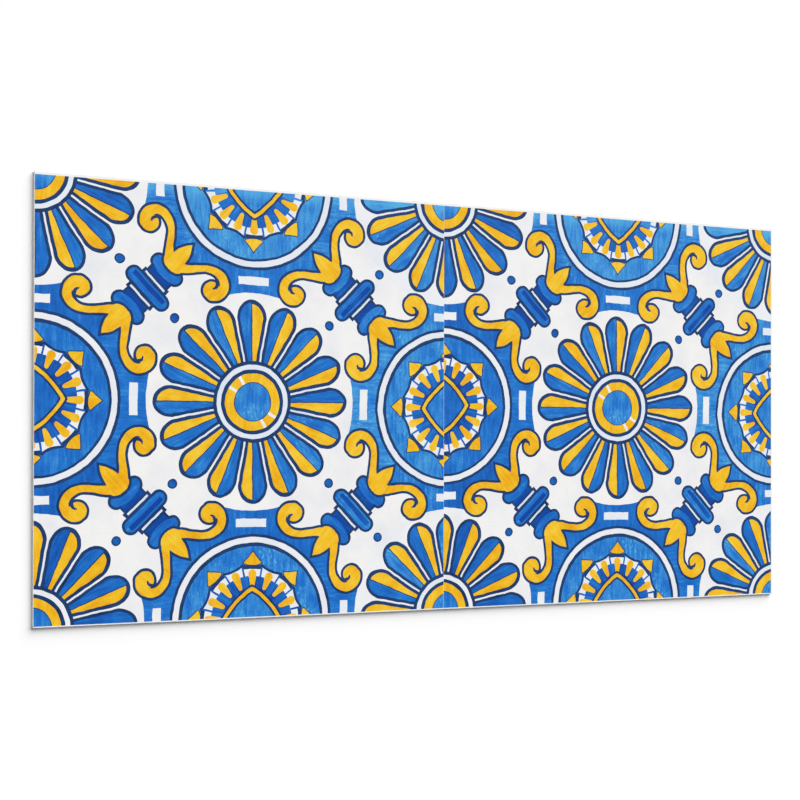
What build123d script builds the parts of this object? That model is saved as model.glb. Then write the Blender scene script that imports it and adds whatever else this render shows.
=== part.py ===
from build123d import *
import os

# Peel and stick wall panel: one rigid sheet, twice as long as it is high, with its print on the upper face.
# It lies flat, print up. The origin is the centre of the adhesive back face, +X runs along the long edge,
# +Y towards the edge that is uppermost on the wall, and +Z points out of the printed face.

# Driving dimensions, in millimetres
panel_length = 600.0
panel_height = 300.0
panel_thickness = 3.0

# Small radius of the four upright corners
corner_radius = 0.8

# Rounded arris round the printed face, where the cut edge is eased
arris_radius = 0.5


def make_panel():
    """The sheet: a rectangle with slightly eased corners, extruded, its front rim rounded over."""
    outline = RectangleRounded(panel_length, panel_height, corner_radius)
    sheet = extrude(outline, panel_thickness)
    front_rim = sheet.edges().group_by(Axis.Z)[-1]
    return fillet(front_rim, arris_radius)


os.makedirs("parts", exist_ok=True)

panel = make_panel()
panel.label = "panel"
export_step(panel, "parts/panel.step")
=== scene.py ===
import math
from collections import namedtuple

import bpy
import numpy as np
from bpy.props import FloatProperty, FloatVectorProperty, IntProperty, PointerProperty
from mathutils.geometry import delaunay_2d_cdt
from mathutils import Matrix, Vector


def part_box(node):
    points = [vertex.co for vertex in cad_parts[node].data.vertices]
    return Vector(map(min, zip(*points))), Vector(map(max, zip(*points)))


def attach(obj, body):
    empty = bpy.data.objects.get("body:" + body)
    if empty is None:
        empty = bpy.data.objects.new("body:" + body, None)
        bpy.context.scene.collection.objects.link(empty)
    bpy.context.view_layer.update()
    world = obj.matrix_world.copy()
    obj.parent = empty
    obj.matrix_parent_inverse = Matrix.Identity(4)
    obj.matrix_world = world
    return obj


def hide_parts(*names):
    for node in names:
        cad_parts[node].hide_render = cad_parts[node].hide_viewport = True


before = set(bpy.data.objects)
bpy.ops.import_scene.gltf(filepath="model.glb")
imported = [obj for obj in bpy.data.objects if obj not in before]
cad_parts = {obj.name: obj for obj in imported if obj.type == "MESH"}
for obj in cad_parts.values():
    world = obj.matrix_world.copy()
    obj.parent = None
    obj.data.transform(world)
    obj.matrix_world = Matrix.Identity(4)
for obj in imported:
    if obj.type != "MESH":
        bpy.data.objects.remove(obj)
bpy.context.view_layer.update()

bl_info = {
    "name": "Printed Wall Panel",
    "version": (1, 0, 0),
    "blender": (4, 5, 0),
    "location": "View3D > Sidebar > Wall Panel",
    "description": "Prints a peel and stick wall panel with a glazed-tile ornament and sets it on a stage",
    "category": "Object",
}

SHEET_LOW, SHEET_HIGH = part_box("panel")
SHEET_NODE = "panel"
PIECE_NAME = "printed_panel"
MM = 0.001

# Painter's order of the drawn groups, from the ground up
DRAWN_GROUPS = ("fields", "rosettes", "daisies", "balusters")

# Material slots of the panel
INKS = ("ground", "blue", "navy", "yellow", "vinyl", "adhesive")

# Tones of a wash, from the deepest, 0, to the palest, 1
DEEPEST, DEEP, DARK, PLAIN, BRIGHT = 0.0, 0.08, 0.3, 0.5, 0.58
DOT_TONE, BALUSTER_TONE, PETAL_TONE, FIELD_TONE, EYE_TONE = 0.22, 0.45, 0.46, 0.47, 0.55
# Tones of the white ground, from its plain white to its coolest
BAR_WHITE, RING_WHITE, EYE_WHITE, COOL = 0.65, 0.75, 0.85, 1.0
# How much the tone of one shape may differ from that of the next
UNEVEN_TONE = 0.1

# Where a motif stands: points along each side of the lattice, every how many of them, from which one,
# and how far every other one is turned
Places = namedtuple("Places", "side every first cell_turn")
DAISY_PLACES = Places(3, 2, 0, 0.0)
ROSETTE_PLACES = Places(3, 2, 1, 0.0)
CELL_PLACES = Places(2, 1, 0, math.pi / 2)
MIDDLE_PLACE = Places(3, 9, 4, 0.0)

# One flat shape of one ink, and how often it goes round its motif
Stamp = namedtuple("Stamp", "outline ink places count start tone stroke fixed_stroke")


def stamp(outline, ink, places, count=1, start=0.0, tone=PLAIN, stroke=0.0, fixed_stroke=False):
    """A stamp, with the usual answers filled in."""
    return Stamp(outline, ink, places, count, start, tone, stroke, fixed_stroke)


# Points of the drawn outlines, in millimetres, read off flattened pictures of the photo

# Scroll beside a baluster: distance along the baluster, distance across it, and half width
SCROLL_PATH = (
    (25.0, 2.0, 4.6), (28.6, 7.4, 3.1), (32.3, 10.8, 2.5), (36.2, 13.9, 2.3), (40.0, 17.3, 2.2),
    (42.9, 21.2, 2.4), (44.4, 25.6, 2.7), (44.5, 30.2, 2.9), (42.6, 34.3, 3.1), (38.6, 36.7, 3.4),
    (34.0, 36.4, 3.8), (31.0, 33.5, 4.2),
)
# Dark hook that curls into the scroll's ball
HOOK_PATH = ((40.7, 26.6, 0.6), (40.4, 28.8, 1.0), (38.7, 31.0, 1.2), (36.3, 31.9, 1.0), (34.4, 31.0, 0.5))
# Heart at the baluster's end, one side of it, from its leaf's tip down to the middle of its cup
HEART_SIDE = ((44.2, 0.0), (40.2, 2.7), (36.0, 4.5), (32.4, 5.3), (29.0, 6.2), (24.6, 8.0), (21.4, 5.2),
              (20.2, 0.0))
# Collar under the heart, a bent bar
COLLAR_PATH = ((19.0, -8.4, 4.0), (17.8, -4.2, 4.2), (17.4, 0.0, 4.2), (17.8, 4.2, 4.2), (19.0, 8.4, 4.0))
# Yellow tip of a rosette, one side of it, from its apex to the middle of its rounded base
TIP_SIDE = ((46.0, 0.0), (43.5, 2.1), (40.8, 4.4), (38.6, 6.3), (37.4, 3.6), (36.9, 0.0))

# Offsets of the motifs from the lattice, in millimetres, column by column from the left, bottom up; they
# were measured by fitting the motifs to the photo, rounded and typed in
MOTIF_OFFSETS = ((2.1, 0.3), (1.1, -1.0), (0.9, -3.0), (1.6, 2.0), (0.3, 0.3), (0.5, -1.5), (2.3, 1.8),
                 (0.1, -1.0), (-1.0, -1.9))
# The same for the balusters
BALUSTER_OFFSETS = ((1.0, 0.0), (1.0, -1.0), (1.2, 0.5), (0.5, -1.0))


# Properties of the settings, with lengths in millimetres and angles in degrees


def mm(name, description, value):
    """A length."""
    return FloatProperty(name=name, description=description, default=value * MM, unit="LENGTH", precision=5)


def mm_each(name, description, *values):
    """A place or a size of two or three lengths."""
    return FloatVectorProperty(name=name, description=description, default=[v * MM for v in values],
                               size=len(values), subtype="XYZ", unit="LENGTH", precision=5)


def degrees(name, description, value):
    """An angle."""
    return FloatProperty(name=name, description=description, default=math.radians(value), subtype="ANGLE")


def degrees_each(name, description, *values):
    """A turn about each of the three axes."""
    return FloatVectorProperty(name=name, description=description, default=[math.radians(v) for v in values],
                               size=len(values), subtype="EULER", unit="ROTATION")


def colour(name, description, *linear):
    """A linear colour."""
    return FloatVectorProperty(name=name, description=description, default=linear, size=3, subtype="COLOR",
                               min=0.0, max=1.0)


def number(name, description, value):
    """A plain number."""
    return FloatProperty(name=name, description=description, default=value)


class SheetSettings(bpy.types.PropertyGroup):
    """The white sheet and the place of its print."""

    corner_radius: mm("Corner radius", "Radius of the upright corners", 0.8)
    arris_radius: mm("Arris radius", "Round-over of the front rim", 0.5)
    arris_steps: IntProperty(name="Arris steps", description="Facets across the round-over",
                             default=4, min=1)
    margin_left: mm("Left margin", "Bare sheet left of the print", 0.52)
    margin_right: mm("Right margin", "Bare sheet right of the print", 1.95)
    margin_top: mm("Top margin", "Bare sheet above the print", 2.3)
    margin_bottom: mm("Bottom margin", "Bare sheet below the print", 1.0)
    seam_width: mm("Seam width", "Hairline between the two repeats of the print", 0.14)


class LatticeSettings(bpy.types.PropertyGroup):
    """The checkerboard on which the motifs stand, and the unsteady hand that draws them."""

    pitch: mm("Pitch", "Distance from a daisy to the next rosette", 152.3)
    turn: degrees("Turn", "How far the drawing stands askew", -0.55)
    middle: mm_each("Middle", "Middle daisy, from the middle of its half", 0.5, 0.2)
    outline_step: mm("Outline step", "Spacing of points along outlines", 1.3)
    wobble: mm("Wobble", "Slow wander of the drawn shapes", 0.8)
    wobble_size: mm("Wobble size", "Length of the slow wander", 32.0)
    tremble: mm("Tremble", "Quick wander of the brush", 0.5)
    tremble_size: mm("Tremble size", "Length of the quick wander", 5.5)
    paler_right: number("Paler to the right", "How much the wash pales from a motif to the next", 0.095)
    paler_up: number("Paler upwards", "How much the wash pales from a motif to the one above", 0.04)
    seed: IntProperty(name="Seed", description="Picks one unsteady hand", default=4)


class DaisySettings(bpy.types.PropertyGroup):
    """The daisy: split petals round a ringed eye."""

    petals: IntProperty(name="Petals", description="Number of petals", default=16, min=3)
    turn: degrees("Turn", "How far a daisy is turned on the lattice", 1.0)
    tip_radius: mm("Tip radius", "Centre to the tip of a petal's colour", 69.0)
    widest_radius: mm("Widest radius", "Centre to the widest place of a petal", 57.9)
    petal_half_width: mm("Petal half width", "Half width of a petal's colour", 8.6)
    base_half_width: mm("Base half width", "Half width where a petal meets the eye", 2.3)
    line: mm("Line", "Width of the petals' outline", 2.15)
    yellow_inset: mm("Yellow inset", "How far the yellow stops short of a petal's end", 0.9)
    split_line: mm("Split line", "Dark line between the halves of a petal", 0.75)
    field_radius: mm("Field radius", "White field round the daisy", 75.7)
    bar_radius: mm("Bar radius", "Centre to a white bar outside the field", 84.2)
    bar_size: mm_each("Bar size", "Thickness and length of a white bar", 5.8, 22.0)
    rim_radius: mm("Rim radius", "Dark rim of the eye", 28.5)
    ring_radius: mm("Ring radius", "White ring of the eye, outside", 26.0)
    ring_hole_radius: mm("Ring hole radius", "White ring of the eye, inside", 22.8)
    band_radius: mm("Band radius", "Yellow band of the eye, outside", 20.1)
    disc_radius: mm("Disc radius", "Blue disc of the eye", 13.2)
    disc_offset: mm_each("Disc offset", "How far the disc sits off centre", 0.2, 0.1)
    disc_line: mm("Disc line", "Dark line round the blue disc", 0.6)
    tick_width: mm("Tick width", "White ticks across the yellow band", 2.1)
    tick_angle: degrees("Tick angle", "Middle of the first pair of ticks", 134.0)
    tick_spread: degrees("Tick spread", "Angle from the middle of a pair to a tick", 15.0)


class RosetteSettings(bpy.types.PropertyGroup):
    """The rosette: rings, pointed tips, a fringe of pins and blocks, and a diamond."""

    turn: degrees("Turn", "How far a rosette is turned on the lattice", -0.75)
    rim_radius: mm("Rim radius", "Dark line outside the white ring", 58.7)
    ring_radius: mm("Ring radius", "White ring, outside", 56.65)
    ring_hole_radius: mm("Ring hole radius", "White ring, inside", 52.65)
    disc_radius: mm("Disc radius", "Blue disc", 50.5)
    disc_offset: mm_each("Disc offset", "How far the disc sits off centre", 0.2, -0.45)
    tips: IntProperty(name="Tips", description="Number of yellow tips", default=8, min=3)
    fringe_radius: mm("Fringe radius", "Centre to a point of the white fringe", 36.2)
    fringe_dip: mm("Fringe dip", "How far the fringe's edge dips between points", 1.8)
    line: mm("Line", "Width of the dark lines", 1.75)
    pin_start: mm("Pin start", "Centre to the foot of a pin", 22.6)
    pin_end: mm("Pin end", "Centre to the middle of a pin's head", 31.3)
    pin_head: mm("Pin head", "Radius of a pin's head", 2.9)
    pin_foot: mm("Pin foot", "Half width of a pin's foot", 1.5)
    block_start: mm("Block start", "Centre to the inner end of a block", 17.2)
    block_end: mm("Block end", "Centre to the outer end of a block", 29.6)
    block_half_width: mm("Block half width", "Half width of a block's outer end", 3.1)
    block_foot: mm("Block foot", "Half width of a block's inner end", 2.0)
    stem_half_width: mm("Stem half width", "Half width of the stem outside a block", 0.7)
    diamond_radius: mm("Diamond radius", "Centre to a corner of the yellow diamond", 22.4)
    diamond_band: mm("Diamond band", "Width of the diamond at its corners", 3.0)
    diamond_bulge: number("Diamond bulge", "1 for straight sides, 2 for a circle", 1.2)
    diamond_slim: number("Diamond slimness", "Width of the diamond over its height", 0.96)
    neck_reach: mm("Neck reach", "Centre to the end of the blue neck", 82.0)
    neck_half_width: mm("Neck half width", "Half width of the blue neck's end", 21.0)


class BalusterSettings(bpy.types.PropertyGroup):
    """The baluster between two rosettes, with its scrolls."""

    bar_half_length: mm("Bar half length", "Middle bar, to the centre of its round end", 13.6)
    bar_half_width: mm("Bar half width", "Half thickness of the middle bar", 4.2)
    fillet_reach: mm("Fillet reach", "Middle to the outside of a dark fillet", 9.7)
    fillet_half_length: mm("Fillet half length", "Half length of a dark fillet", 12.0)
    neck_reach: mm("Neck reach", "Middle to the outside of the dark neck under a collar", 14.5)
    neck_half_length: mm("Neck half length", "Half length of the dark neck", 8.5)
    strip_place: mm("Strip place", "Middle to a white strip", 7.25)
    strip_size: mm_each("Strip size", "Thickness and length of a white strip", 1.5, 19.4)
    line: mm("Line", "Width of the dark outlines", 1.85)
    ball_place: mm_each("Ball place", "Ball of a scroll, along and across the baluster", 32.8, 31.2)
    ball_radius: mm("Ball radius", "Ball of a scroll", 6.1)
    dot_place: mm("Dot place", "Middle to a dot beside the baluster", 27.2)
    dot_radius: mm("Dot radius", "Radius of a dot", 3.5)
    dot_line: mm("Dot line", "Dark edge of a dot", 1.0)


class InkSettings(bpy.types.PropertyGroup):
    """Colours of the print and the sheet, linear, tuned until the render's medians met the photo's."""

    ground: colour("Ground", "White glaze", 0.90, 0.892, 0.885)
    ground_cool: colour("Cool ground", "White glaze between blues", 0.75, 0.82, 0.915)
    blue_deep: colour("Deep blue", "Thick blue wash", 0.006, 0.060, 0.34)
    blue: colour("Blue", "Blue wash", 0.017, 0.175, 0.60)
    blue_pale: colour("Pale blue", "Thin blue wash", 0.095, 0.42, 0.78)
    navy: colour("Navy", "Outlines", 0.006, 0.024, 0.080)
    navy_thin: colour("Thin navy", "Outlines where the brush runs dry", 0.015, 0.050, 0.16)
    yellow_deep: colour("Deep yellow", "Thick yellow wash", 0.81, 0.37, 0.008)
    yellow: colour("Yellow", "Yellow wash", 0.885, 0.51, 0.020)
    yellow_pale: colour("Pale yellow", "Thin yellow wash", 0.93, 0.62, 0.055)
    vinyl: colour("Vinyl", "White sheet", 0.93, 0.93, 0.92)
    adhesive: colour("Adhesive", "Back of the sheet", 0.66, 0.64, 0.60)


class StageSettings(bpy.types.PropertyGroup):
    """Floor, light and camera; the camera was fitted to the corners of the sheet in the photo."""

    floor_size: mm("Floor size", "Side of the floor", 8000.0)
    floor_gap: mm("Floor gap", "Air between floor and sheet", 0.05)
    floor_color: colour("Floor", "Floor colour", 0.97, 0.97, 0.97)
    floor_lift: number("Floor lift", "White added to the floor for the camera", 0.05)
    sky: number("Sky", "Strength of the even light from all round", 0.09)
    lamp: number("Lamp", "Strength of the lamp", 4.8)
    lamp_height: degrees("Lamp height", "Angle of the lamp above the floor", 36.0)
    lamp_side: degrees("Lamp side", "Direction of the lamp, from +X towards +Y", 58.0)
    lamp_spread: degrees("Lamp spread", "Apparent size of the lamp", 66.0)
    camera_place: mm_each("Camera place", "Where the camera stands", -487.79, -34.7, 993.42)
    camera_turn: degrees_each("Camera turn", "Turn of the camera from looking straight down",
                              0.336, -24.51, 0.104)
    camera_lens: number("Camera lens", "Focal length in millimetres on a 36 mm film", 67.34)
    camera_rise: number("Camera rise", "Vertical shift that keeps upright edges upright", 0.0536)


class WallPanelSettings(bpy.types.PropertyGroup):
    """Everything that a user would change."""

    sheet: PointerProperty(type=SheetSettings)
    lattice: PointerProperty(type=LatticeSettings)
    daisy: PointerProperty(type=DaisySettings)
    rosette: PointerProperty(type=RosetteSettings)
    baluster: PointerProperty(type=BalusterSettings)
    inks: PointerProperty(type=InkSettings)
    stage: PointerProperty(type=StageSettings)


# Outlines, as arrays of points

# Less than any length or share that counts
TINY = 1e-12
# How far a pointed corner may be drawn out, and how blunt the sharpest counted one is
LONGEST_CORNER, SHARPEST = 2.2, 0.05


def arc(centre, radii, start, end, step):
    """Points along part of an ellipse, both ends included."""
    count = max(3, math.ceil(abs(end - start) * max(radii) / step))
    angle = np.linspace(start, end, count + 1)
    return np.column_stack((centre[0] + radii[0] * np.cos(angle), centre[1] + radii[1] * np.sin(angle)))


def disc(radius, step, centre=(0.0, 0.0)):
    """A full circle."""
    return arc(centre, (radius, radius), 0.0, math.tau, step)[:-1]


def straight(start, end, step):
    """Points along a straight line, its end left out."""
    start, end = np.asarray(start, float), np.asarray(end, float)
    count = max(1, math.ceil(np.linalg.norm(end - start) / step))
    return start + (end - start) * (np.arange(count) / count)[:, None]


def fine(corners, step):
    """A closed outline with straight sides, divided so that it can wander."""
    ends = [*corners[1:], corners[0]]
    return np.vstack([straight(start, end, step) for start, end in zip(corners, ends)])


def bar(centre, size, step):
    """A rectangle."""
    corners = np.array(((-1, -1), (1, -1), (1, 1), (-1, 1)))
    return fine(np.asarray(centre) + corners * np.asarray(size) / 2, step)


def smooth(points, step):
    """A smooth curve through given points, whatever else each point carries beside its place."""
    points = np.asarray(points, float)
    padded = np.vstack((2 * points[0] - points[1], points, 2 * points[-1] - points[-2]))
    rows = []
    for before, start, end, after in zip(padded, padded[1:], padded[2:], padded[3:]):
        count = max(2, math.ceil(np.linalg.norm((end - start)[:2]) / step))
        for k in range(count):
            t = k / count
            bend = (2 * before - 5 * start + 4 * end - after) * t ** 2
            swing = (3 * start - before - 3 * end + after) * t ** 3
            rows.append(0.5 * (2 * start + (end - before) * t + bend + swing))
    rows.append(points[-1])
    return np.array(rows)


def brush_stroke(path, step):
    """Outline of a stroke with round ends along a smooth path of places and half widths."""
    line = smooth(path, step)
    centre, half = line[:, :2], line[:, 2:]
    along = np.gradient(centre, axis=0)
    along /= np.linalg.norm(along, axis=1)[:, None]
    across = np.column_stack((-along[:, 1], along[:, 0]))

    def cap(k, direction):
        heading = math.atan2(*(direction * along[k])[::-1])
        return arc(centre[k], (half[k, 0],) * 2, heading - math.pi / 2, heading + math.pi / 2, step)[1:-1]

    return np.vstack((centre - across * half, cap(-1, 1), (centre + across * half)[::-1], cap(0, -1)))


def both_sides(side, step):
    """A closed outline from one side of it: a smooth curve and its mirror image."""
    curve = smooth(side, step)
    return np.vstack((curve, (curve * (1, -1))[-2:0:-1]))


def mirrored(outline):
    """The outline on the other side of its own axis."""
    return (outline * (1, -1))[::-1]


def grown(outline, amount):
    """The outline moved outwards by an even amount, with pointed corners kept pointed."""
    edge = np.roll(outline, -1, axis=0) - outline
    edge /= np.linalg.norm(edge, axis=1)[:, None] + TINY
    outward = np.column_stack((edge[:, 1], -edge[:, 0]))
    both = outward + np.roll(outward, 1, axis=0)
    both /= np.linalg.norm(both, axis=1)[:, None] + TINY
    stretch = np.minimum(1.0 / np.maximum((both * outward).sum(axis=1), SHARPEST), LONGEST_CORNER)
    return outline + both * (amount * stretch)[:, None]


def in_metres(rows):
    """Rows of millimetres as an array in metres."""
    return np.array(rows) * MM


# Stamps of the motifs, each in its own frame, with +X away from the motif's middle

# How far the blue fields reach under the hearts
HEART_OVERLAP = 2.0 * MM
# Dark edge of a rosette's tip and the line under it, over the width of its lines
TIP_EDGE, TIP_LINE_GAP, TIP_LINE_HALF = 0.4, 0.8, 0.75
# Reach of the line under a tip, over the angle between two points of the fringe
TIP_LINE_REACH = 0.44
# How much wider than a pin its dark edge is, at foot and head, and how much shorter
PIN_EDGE_FOOT, PIN_EDGE_HEAD, PIN_EDGE_SHORT = 0.4 * MM, 0.1 * MM, 2.0 * MM
# Cool white behind the petals, over the radius at which they are widest
BEHIND_PETALS = 0.85
# Shaded stripe of a baluster's middle bar, over the bar's half width and half length
SHADE_PLACE, SHADE_WIDTH, SHADE_LENGTH = -0.3, 0.8, 2.2
# Points along one scallop of the fringe
SCALLOP_POINTS = 16


def field_stamps(settings):
    """Blue field round a rosette, out to the scrolls and necks, then the white fields of the daisies."""
    rosette, daisy, step = settings.rosette, settings.daisy, settings.lattice.outline_step
    to_cell = settings.lattice.pitch / math.sqrt(2)
    scroll = smooth(in_metres(SCROLL_PATH), 3 * step)[:, :2]
    slant = math.sqrt(0.5)
    near = (to_cell - scroll[:, 0]) * slant
    side = np.column_stack((near + scroll[:, 1] * slant, near - scroll[:, 1] * slant))
    neck = [(rosette.neck_reach, -rosette.neck_half_width), (rosette.neck_reach, rosette.neck_half_width)]
    behind_heart = (to_cell - scroll[0, 0]) * slant - HEART_OVERLAP
    overlap = np.array([(behind_heart, behind_heart + 2 * HEART_OVERLAP)])
    outline = np.vstack(([(0.0, 0.0)], overlap * (1, -1), side * (1, -1), neck, side[::-1], overlap))
    white_bar = bar((daisy.bar_radius, 0.0), daisy.bar_size, step)
    return [
        stamp(outline, "blue", ROSETTE_PLACES, count=4, tone=FIELD_TONE),
        stamp(disc(daisy.field_radius, step), "ground", DAISY_PLACES),
        stamp(white_bar, "ground", DAISY_PLACES, count=4, tone=BAR_WHITE),
    ]


def rosette_stamps(settings):
    """Rings, fringe, tips, pins, blocks and diamond of a rosette."""
    size, step = settings.rosette, settings.lattice.outline_step
    half_turn = math.pi / size.tips
    angle = np.linspace(0.0, math.tau, 2 * SCALLOP_POINTS * size.tips, endpoint=False)
    along_scallop = (angle / half_turn + 0.5) % 1.0
    edge = size.fringe_radius - size.fringe_dip * (1.0 - (2.0 * along_scallop - 1.0) ** 2)
    fringe = np.column_stack((edge * np.cos(angle), edge * np.sin(angle)))
    tip = both_sides(in_metres(TIP_SIDE), step)
    under_tip = arc((0.0, 0.0), (size.fringe_radius - size.fringe_dip + TIP_LINE_GAP * size.line,) * 2,
                    -TIP_LINE_REACH * half_turn, TIP_LINE_REACH * half_turn, step)
    half_width = np.full(len(under_tip), size.line * TIP_LINE_HALF)
    tip_line = brush_stroke(np.column_stack((under_tip, half_width)), step)
    stem = bar(((size.block_end + size.fringe_radius) / 2, 0.0),
               (size.fringe_radius - size.block_end, 2 * size.stem_half_width), step)
    block = fine([(size.block_start, -size.block_foot), (size.block_end, -size.block_half_width),
                  (size.block_end, size.block_half_width), (size.block_start, size.block_foot)], step)
    pin = brush_stroke([(size.pin_start, 0.0, size.pin_foot), (size.pin_end, 0.0, size.pin_head)], step)
    pin_edge = brush_stroke([(size.block_start, 0.0, size.pin_foot + PIN_EDGE_FOOT),
                             (size.block_end - PIN_EDGE_SHORT, 0.0, size.pin_head + PIN_EDGE_HEAD)], step)
    between_tips = size.turn + half_turn / 2
    lines = [
        stamp(disc(size.rim_radius, step), "navy", ROSETTE_PLACES),
        stamp(disc(size.ring_radius, step), "ground", ROSETTE_PLACES, tone=RING_WHITE),
        stamp(disc(size.ring_hole_radius, step), "navy", ROSETTE_PLACES),
        stamp(disc(size.disc_radius, step, size.disc_offset), "blue", ROSETTE_PLACES, tone=BRIGHT,
              stroke=math.pi / 2, fixed_stroke=True),
        stamp(grown(fringe, size.line), "navy", ROSETTE_PLACES, start=size.turn),
        stamp(fringe, "ground", ROSETTE_PLACES, start=size.turn, tone=BAR_WHITE),
        stamp(grown(tip, TIP_EDGE * size.line), "navy", ROSETTE_PLACES, count=size.tips, start=size.turn),
        stamp(tip, "yellow", ROSETTE_PLACES, count=size.tips, start=size.turn),
        stamp(tip_line, "navy", ROSETTE_PLACES, count=size.tips, start=size.turn),
        stamp(stem, "blue", ROSETTE_PLACES, count=2 * size.tips, start=between_tips, tone=DARK),
        stamp(block, "blue", ROSETTE_PLACES, count=2 * size.tips, start=between_tips, tone=DARK),
        stamp(pin_edge, "blue", ROSETTE_PLACES, count=2 * size.tips, start=size.turn, tone=DEEP),
        stamp(pin, "yellow", ROSETTE_PLACES, count=2 * size.tips, start=size.turn),
    ]
    return lines + diamond_stamps(settings)


def diamond_stamps(settings):
    """The yellow diamond with its dark edges, round a blue heart."""
    size, step = settings.rosette, settings.lattice.outline_step
    count = math.ceil(math.tau * size.diamond_radius / step / 4) * 4
    angle = np.linspace(0.0, math.tau, count, endpoint=False)
    reach = (np.abs(np.cos(angle)) ** size.diamond_bulge + np.abs(np.sin(angle)) ** size.diamond_bulge)
    unit = np.column_stack((size.diamond_slim * np.cos(angle), np.sin(angle)))
    unit *= (reach ** (-1.0 / size.diamond_bulge))[:, None]
    inner = size.diamond_radius - size.diamond_band
    return [
        stamp(unit * (size.diamond_radius + size.line), "navy", ROSETTE_PLACES),
        stamp(unit * size.diamond_radius, "yellow", ROSETTE_PLACES),
        stamp(unit * inner, "navy", ROSETTE_PLACES),
        stamp(unit * (inner - size.line), "blue", ROSETTE_PLACES, tone=BRIGHT,
              stroke=math.pi / 2, fixed_stroke=True),
    ]


def daisy_stamps(settings):
    """Split petals, then the rings of the eye with their ticks."""
    size, step = settings.daisy, settings.lattice.outline_step
    tip = arc((size.widest_radius, 0.0), (size.tip_radius - size.widest_radius, size.petal_half_width),
              -math.pi / 2, math.pi / 2, step)
    foot = size.ring_radius
    whole = np.vstack((straight((foot, -size.base_half_width), tip[0], step), tip,
                       straight(tip[-1], (foot, size.base_half_width), step)[1:]))
    halves = []
    for inset in (size.yellow_inset, 0.0):
        reach = size.tip_radius - inset
        radii = (reach - size.widest_radius, size.petal_half_width - 0.5 * inset)
        end = arc((size.widest_radius, 0.0), radii, -math.pi / 2, 0.0, step)
        flank = straight((foot, -size.base_half_width), end[0], step)
        middle = straight((reach, 0.0), (foot, 0.0), step)
        halves.append(np.vstack(([(foot, 0.0)], flank, end[:-1], middle)))
    yellow, blue = halves[0], mirrored(halves[1])
    split = bar(((foot + size.tip_radius) / 2, 0.0), (size.tip_radius - foot, size.split_line), step)
    tick = bar(((size.band_radius + size.disc_radius) / 2, 0.0),
               (size.band_radius - size.disc_radius, size.tick_width), step)
    ticks = []
    for side in (-size.tick_spread, size.tick_spread):
        ticks.append(stamp(tick, "ground", MIDDLE_PLACE, count=2, start=size.tick_angle + side))
    petals = {"places": DAISY_PLACES, "count": size.petals, "start": size.turn}
    eye = {"places": DAISY_PLACES, "stroke": math.pi / 2, "fixed_stroke": True}
    return [
        stamp(disc(BEHIND_PETALS * size.widest_radius, step), "ground", DAISY_PLACES, tone=EYE_WHITE),
        stamp(grown(whole, size.line), "navy", **petals),
        stamp(blue, "blue", tone=PETAL_TONE, **petals),
        stamp(yellow, "yellow", **petals),
        stamp(split, "navy", **petals),
        stamp(disc(size.rim_radius, step), "navy", **eye),
        stamp(disc(size.ring_radius, step), "ground", tone=EYE_WHITE, **eye),
        stamp(disc(size.ring_hole_radius, step), "navy", **eye),
        stamp(disc(size.band_radius, step), "yellow", **eye),
        *ticks,
        stamp(disc(size.disc_radius + size.disc_line, step, size.disc_offset), "navy", **eye),
        stamp(disc(size.disc_radius, step, size.disc_offset), "blue", tone=EYE_TONE, **eye),
    ]


def baluster_stamps(settings):
    """Collars, fillets and middle bar, the dots beside them, and the hearts with their scrolls."""
    size, step = settings.baluster, settings.lattice.outline_step
    first = math.radians(135.0)
    pair = {"places": CELL_PLACES, "count": 2, "start": first}
    once = {"places": CELL_PLACES, "start": first}
    across = {"stroke": math.pi / 2}
    collar = brush_stroke(in_metres(COLLAR_PATH), step)
    middle_bar = brush_stroke([(0.0, -size.bar_half_length, size.bar_half_width),
                               (0.0, size.bar_half_length, size.bar_half_width)], step)
    shade = bar((SHADE_PLACE * size.bar_half_width, 0.0),
                (SHADE_WIDTH * size.bar_half_width, SHADE_LENGTH * size.bar_half_length), step)
    neck = bar((size.neck_reach / 2, 0.0), (size.neck_reach, 2 * size.neck_half_length), step)
    fillet = bar((size.fillet_reach / 2, 0.0), (size.fillet_reach, 2 * size.fillet_half_length), step)
    strip = bar((size.strip_place, 0.0), size.strip_size, step)
    dot = disc(size.dot_radius, step, (0.0, size.dot_place))
    dot_middle = disc(size.dot_radius - size.dot_line, step, (0.0, size.dot_place))
    heart = both_sides(in_metres(HEART_SIDE), step)
    arm = brush_stroke(in_metres(SCROLL_PATH), step)
    ball = disc(size.ball_radius, step, size.ball_place)
    hook = brush_stroke(in_metres(HOOK_PATH), step)
    body = [
        stamp(grown(neck, size.line), "navy", **pair),
        stamp(grown(collar, size.line), "navy", **pair),
        stamp(neck, "blue", tone=DEEPEST, **across, **pair),
        stamp(collar, "blue", tone=BALUSTER_TONE, **across, **pair),
        stamp(fillet, "navy", **pair),
        stamp(strip, "ground", tone=COOL, **pair),
        stamp(grown(middle_bar, size.line), "navy", **once),
        stamp(middle_bar, "blue", tone=BALUSTER_TONE, **across, **once),
        stamp(shade, "blue", tone=DEEPEST, **across, **once),
        stamp(dot, "navy", **pair),
        stamp(dot_middle, "blue", tone=DOT_TONE, **pair),
    ]
    scrolls = []
    yellows = [arm, mirrored(arm), ball, mirrored(ball), heart]
    for outline in yellows:
        scrolls.append(stamp(grown(outline, size.line), "navy", **pair))
    for outline in yellows:
        scrolls.append(stamp(outline, "yellow", **pair))
    for outline in (hook, mirrored(hook)):
        scrolls.append(stamp(outline, "navy", **pair))
    return body + scrolls


STAMPS_OF = {
    "fields": field_stamps,
    "rosettes": rosette_stamps,
    "daisies": daisy_stamps,
    "balusters": baluster_stamps,
}


# Geometry nodes that repeat a stamp round its motif and over the lattice


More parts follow.
